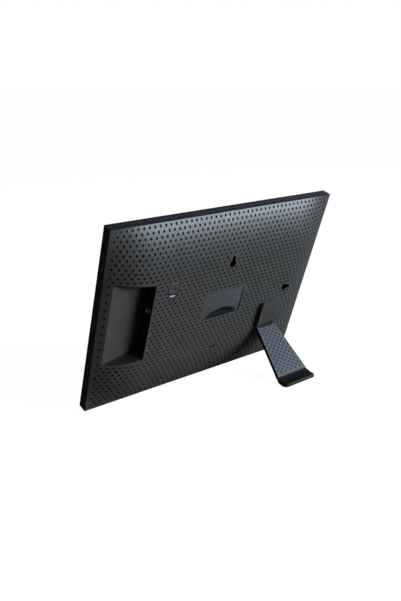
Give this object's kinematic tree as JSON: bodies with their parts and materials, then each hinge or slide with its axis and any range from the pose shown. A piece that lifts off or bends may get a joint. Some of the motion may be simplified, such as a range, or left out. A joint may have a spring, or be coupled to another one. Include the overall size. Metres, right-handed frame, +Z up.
{
  "type": "digital photo frame",
  "caption": "Leaning digital photo frame with a domed dotted back, wall keyholes, a side port recess, a power button and a folding stand leg.",
  "frame": {"origin": "centre of the footprint on the surface that the frame stands on, at rest with the leg swung out", "axes": "+X across the frame, to the right as seen from the screen side; +Y from the screen to the back; +Z up"},
  "size_m": [0.262, 0.0982, 0.1827],
  "materials": {
    "bezel_plastic": "dark navy-black moulded ABS, satin",
    "cover_plastic": "dark grey moulded ABS with a fine satin grain",
    "leg_plastic": "slate grey moulded ABS, satin, dotted face",
    "plate_plastic": "dark grey moulded ABS, satin",
    "cap_plastic": "dark grey moulded ABS, satin",
    "foot_rubber": "black moulded rubber, slightly polished",
    "touch_glass": "black-backed cover glass, polished",
    "foam": "black closed-cell foam tape",
    "panel_glass": "dark polarised display glass",
    "film": "white translucent film",
    "clear_acrylic": "clear acrylic light guide",
    "sheet_steel": "zinc plated sheet steel",
    "screw_steel": "zinc plated screw steel",
    "circuit_board": "green solder mask over glass laminate",
    "module_blue": "blue solder mask",
    "connector_black": "black glass-filled nylon",
    "connector_metal": "nickel plated shell",
    "ribbon": "amber polyimide flat cable",
    "led_white": "white light-emitting diode package",
    "light_pipe": "milky clear polycarbonate",
    "speaker_black": "black speaker shell",
    "antenna_gold": "gold plated flexible antenna",
    "pin_steel": "ground steel pin",
    "washer_nylon": "natural nylon washer",
    "switch_nylon": "natural nylon plunger",
    "label_film": "blank dark printed label film"
  },
  "bodies": {
    "frame": {"front_bezel": "bezel_plastic", "touch_glass": "touch_glass", "glass_tape": "foam", "panel_gasket": "foam", "lcd_panel": "panel_glass", "optical_films": "film", "light_guide": "clear_acrylic", "led_strip": "led_white", "backlight_tray": "sheet_steel", "middle_frame": "bezel_plastic", "panel_brackets": "sheet_steel", "bracket_screws": "screw_steel", "main_board": "circuit_board", "board_screws": "screw_steel", "shield_can": "connector_metal", "wifi_module": "module_blue", "antenna": "antenna_gold", "power_jack": "connector_black", "usb_port": "connector_metal", "reset_switch": "connector_black", "power_switch": "connector_black", "indicator_led": "led_white", "light_pipe": "light_pipe", "speakers": "speaker_black", "speaker_gaskets": "foam", "speaker_screws": "screw_steel", "display_ribbon": "ribbon", "touch_ribbon": "ribbon", "back_cover": "cover_plastic", "rating_label": "label_film", "stand_plate": "plate_plastic", "stand_screws": "screw_steel", "hinge_pin": "pin_steel", "hinge_washers": "washer_nylon"},
    "leg": {"stand_leg": "leg_plastic", "foot_pad": "foot_rubber"},
    "button": {"power_button": "cap_plastic", "switch_plunger": "switch_nylon"}
  },
  "joints": [
    {"name": "leg_fold", "type": "hinge", "parent": "frame", "child": "leg", "pos_m": [-0.067, -0.00579, 0.04782], "axis": [-1, 0, 0], "range_deg": [0, 62.9]},
    {"name": "button_press", "type": "slide", "parent": "frame", "child": "button", "axis": [0, -0.9455, 0.3256], "range_m": [0, 0.0005], "stiffness_N_per_m": 3000, "springref_m": -0.0002}
  ]
}
